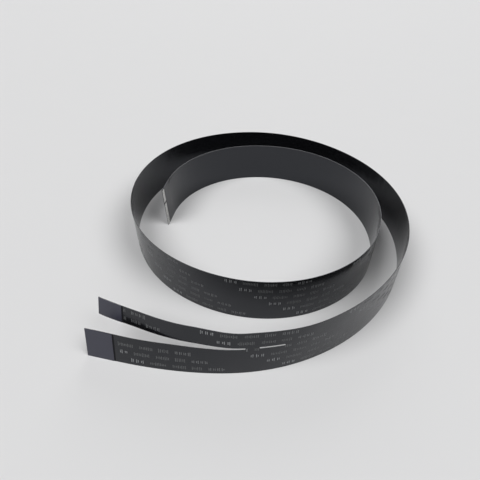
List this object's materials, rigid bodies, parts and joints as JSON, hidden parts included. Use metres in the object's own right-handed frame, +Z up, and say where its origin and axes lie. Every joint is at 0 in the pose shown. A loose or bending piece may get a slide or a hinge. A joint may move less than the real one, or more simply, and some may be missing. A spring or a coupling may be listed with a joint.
{
  "type": "flat flex cable",
  "caption": "Black flat flex cable standing on its long edge in a loose spiral, with bare contacts and a stiffener at its wide end and a slit that splits the other end into tails.",
  "frame": {"origin": "middle of the footprint's bounding rectangle, on the surface that the lower long edge stands on", "axes": "+Z up, across the strip's width; +X to the right and +Y away, seen from the side where the two tails end at the front left"},
  "size_m": [0.1898, 0.2262, 0.0295],
  "materials": {
    "film": "black polyester film, semi-gloss",
    "conductor": "bright tinned copper",
    "stiffener": "dark blue-grey polyester tape, semi-gloss"
  },
  "bodies": {
    "root": {"outer_film": "film", "inner_film": "film", "lower_conductor_1": "conductor", "lower_conductor_2": "conductor", "lower_conductor_3": "conductor", "lower_conductor_4": "conductor", "lower_conductor_5": "conductor", "lower_conductor_6": "conductor", "lower_conductor_7": "conductor", "lower_conductor_8": "conductor", "lower_conductor_9": "conductor", "lower_conductor_10": "conductor", "lower_conductor_11": "conductor", "lower_conductor_12": "conductor", "lower_conductor_13": "conductor", "lower_conductor_14": "conductor", "upper_conductor_1": "conductor", "upper_conductor_2": "conductor", "upper_conductor_3": "conductor", "upper_conductor_4": "conductor", "upper_conductor_5": "conductor", "upper_conductor_6": "conductor", "upper_conductor_7": "conductor", "upper_conductor_8": "conductor", "wide_end_stiffener": "stiffener", "lower_tail_stiffener": "stiffener", "upper_tail_stiffener": "stiffener"}
  },
  "joints": []
}
